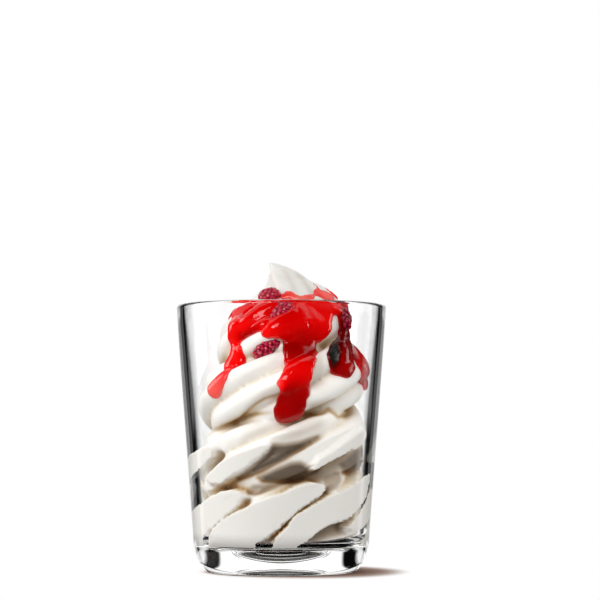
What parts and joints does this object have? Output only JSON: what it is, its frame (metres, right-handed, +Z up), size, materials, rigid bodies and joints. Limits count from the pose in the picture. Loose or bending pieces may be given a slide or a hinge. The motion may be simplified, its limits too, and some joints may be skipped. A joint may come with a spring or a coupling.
{
  "type": "ice cream sundae",
  "caption": "Tapered glass tumbler filled with a piped swirl of white soft-serve ice cream, topped with glossy red berry sauce and raspberries",
  "frame": {"origin": "on the axis of the glass, in the plane of the foot ring it stands on", "axes": "+Z up along the axis of the glass, -Y towards the front, +X to the right"},
  "size_m": [0.0792, 0.0792, 0.1164],
  "materials": {
    "clear_glass": "clear pressed tumbler glass, polished smooth",
    "soft_serve": "white soft-serve ice cream, soft satin surface with cream-coloured creases",
    "berry_sauce": "thick translucent red berry sauce, wet and glossy, darker where it is deep",
    "berry_flesh": "raspberry drupelets, dark crimson, wet, with small pale seeds"
  },
  "bodies": {
    "root": {"glass": "clear_glass", "ice_cream": "soft_serve", "sauce": "berry_sauce", "berry_1": "berry_flesh", "berry_2": "berry_flesh", "berry_3": "berry_flesh", "berry_4": "berry_flesh"}
  },
  "joints": []
}
